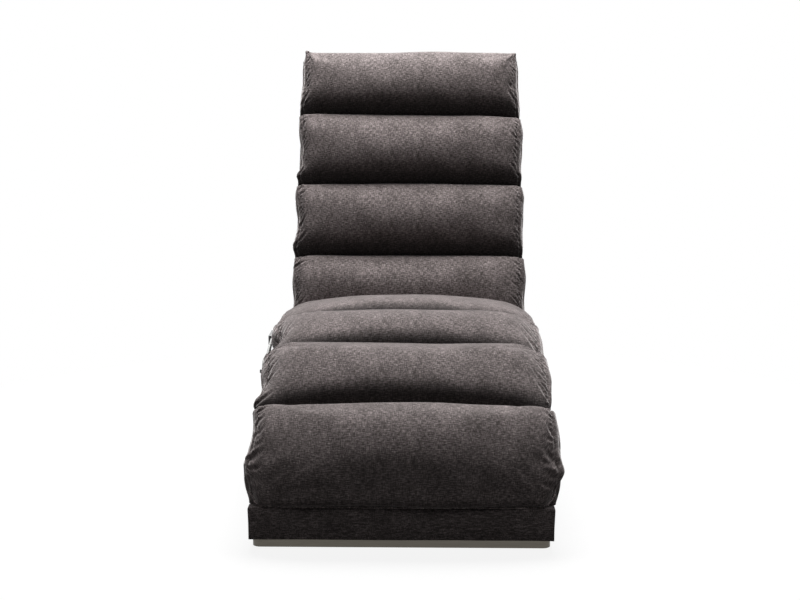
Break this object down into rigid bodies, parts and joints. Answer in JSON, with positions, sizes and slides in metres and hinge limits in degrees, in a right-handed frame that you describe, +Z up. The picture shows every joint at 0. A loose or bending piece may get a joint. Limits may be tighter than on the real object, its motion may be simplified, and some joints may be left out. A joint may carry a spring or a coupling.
{
  "type": "reclining spa lounge chair",
  "caption": "Long S-curved spa lounge chair with soft rolls over an upholstered base, a steel-edged plinth and a backrest that tips back by a side lever.",
  "frame": {"origin": "middle of the base's footprint, on the floor", "axes": "+Z up; -Y towards the foot end; +X to the viewer's right when the foot end is in front"},
  "size_m": [0.737, 1.7211, 1.1104],
  "materials": {
    "fabric": "charcoal woven chenille, soft and mottled",
    "strip_steel": "brushed along its length",
    "wood": "raw birch plywood and pine",
    "frame_steel": "dark grey powder coat",
    "bright_steel": "zinc plated",
    "black_paint": "satin black",
    "black_plastic": "glossy black",
    "nylon": "natural nylon"
  },
  "bodies": {
    "base": {"floor_glides": "black_plastic", "plinth_board": "wood", "plinth_strip": "strip_steel", "front_board": "wood", "rear_board": "wood", "side_board_left": "wood", "side_board_right": "wood", "cross_ribs": "wood", "seat_slats": "wood", "seat_end_rail": "wood", "rear_deck_board": "wood", "front_cover": "fabric", "rear_cover": "fabric", "side_cover_left": "fabric", "side_cover_right": "fabric", "foot_roll": "fabric", "calf_roll": "fabric", "knee_roll": "fabric", "thigh_roll": "fabric", "seat_roll": "fabric", "pivot_plates": "frame_steel", "pivot_bushes": "nylon", "pivot_bolts": "bright_steel", "spring_bracket": "frame_steel", "spring_base_pin": "bright_steel", "spring_bracket_bolts": "bright_steel", "lever_bush": "nylon", "return_spring": "bright_steel", "cable_bracket": "frame_steel", "release_cable": "black_plastic"},
    "backrest": {"pivot_tube": "frame_steel", "back_brackets": "frame_steel", "bracket_bolts": "bright_steel", "hinge_drum": "fabric", "back_rail_left": "wood", "back_rail_right": "wood", "back_bottom_rail": "wood", "back_top_rail": "wood", "back_slats": "wood", "back_panel": "wood", "back_cover": "fabric", "lumbar_roll": "fabric", "midback_roll": "fabric", "shoulder_roll": "fabric", "head_roll": "fabric", "recline_arm": "frame_steel", "arm_pin": "bright_steel"},
    "spring_rod_end": {"spring_rod": "bright_steel", "release_head": "frame_steel"},
    "spring_tube": {"spring_cylinder": "black_paint", "rod_guide": "nylon", "cylinder_eye": "frame_steel"},
    "release_tab": {"release_tab": "bright_steel"},
    "lever": {"lever_shaft": "bright_steel", "lever_arm": "bright_steel", "lever_grip": "black_plastic", "lever_cap": "black_plastic", "release_crank": "frame_steel"}
  },
  "joints": [
    {"name": "recline", "type": "hinge", "parent": "base", "child": "backrest", "pos_m": [0, 0.52502, 0.14915], "axis": [-1, 0, 0], "range_deg": [0, 38]},
    {"name": "spring_swing", "type": "hinge", "parent": "base", "child": "spring_rod_end", "pos_m": [0, 0.21007, 0.08], "axis": [-1, 0, 0], "range_deg": [0, 5]},
    {"name": "spring_stroke", "type": "slide", "parent": "spring_rod_end", "child": "spring_tube", "axis": [0, -1, -0.0052], "range_m": [0, 0.058]},
    {"name": "lever_pull", "type": "hinge", "parent": "base", "child": "lever", "pos_m": [-0.34, -0.1239, 0.29801], "axis": [1, 0, 0], "range_deg": [0, 15], "stiffness_Nm_per_rad": 2, "springref_deg": -17.19},
    {"name": "tab_press", "type": "hinge", "parent": "spring_rod_end", "child": "release_tab", "pos_m": [0, 0.20999, 0.0953], "axis": [1, 0, 0], "range_deg": [0, 12.5]}
  ],
  "couplings": [
    {"joint": "spring_swing", "follows": "recline", "ratio": 0.12366},
    {"joint": "spring_stroke", "follows": "recline", "m_per_rad": 0.08238},
    {"joint": "tab_press", "follows": "lever_pull", "ratio": 0.8}
  ]
}
